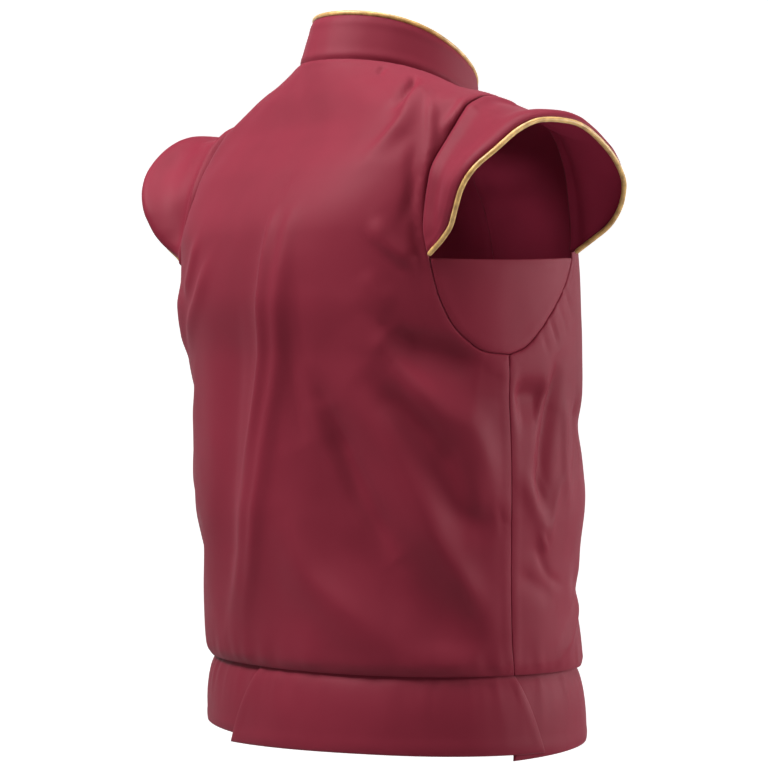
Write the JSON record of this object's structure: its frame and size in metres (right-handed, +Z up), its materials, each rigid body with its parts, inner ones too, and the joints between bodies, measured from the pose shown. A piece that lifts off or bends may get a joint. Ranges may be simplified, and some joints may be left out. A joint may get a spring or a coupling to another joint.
{
  "type": "historic costume doublet",
  "caption": "Short fitted doublet in its worn form: stand collar, plain back, short winged sleeve caps edged with satin piping, and a skirt of overlapping tabs at the waist.",
  "frame": {"origin": "midway between the two points where the neck seam meets the shoulder seams, where the garment hangs on its wearer", "axes": "+Z up, -Y the wearer's front, +X the wearer's left"},
  "size_m": [0.4942, 0.285, 0.5768],
  "materials": {
    "mat_suiting": "smooth burgundy suiting with a soft sheen",
    "mat_satin": "gold satin, bias cut over a cord"
  },
  "bodies": {
    "root": {"back": "mat_suiting", "front_right": "mat_suiting", "front_left": "mat_suiting", "underarm_inset_right": "mat_suiting", "underarm_inset_left": "mat_suiting", "collar": "mat_suiting", "collar_piping": "mat_satin", "sleeve_cap_right": "mat_suiting", "sleeve_cap_left": "mat_suiting", "cap_piping_right": "mat_satin", "cap_piping_left": "mat_satin", "peplum_back_right": "mat_suiting", "peplum_back_left": "mat_suiting", "peplum_front_right": "mat_suiting", "peplum_front_left": "mat_suiting"}
  },
  "joints": []
}
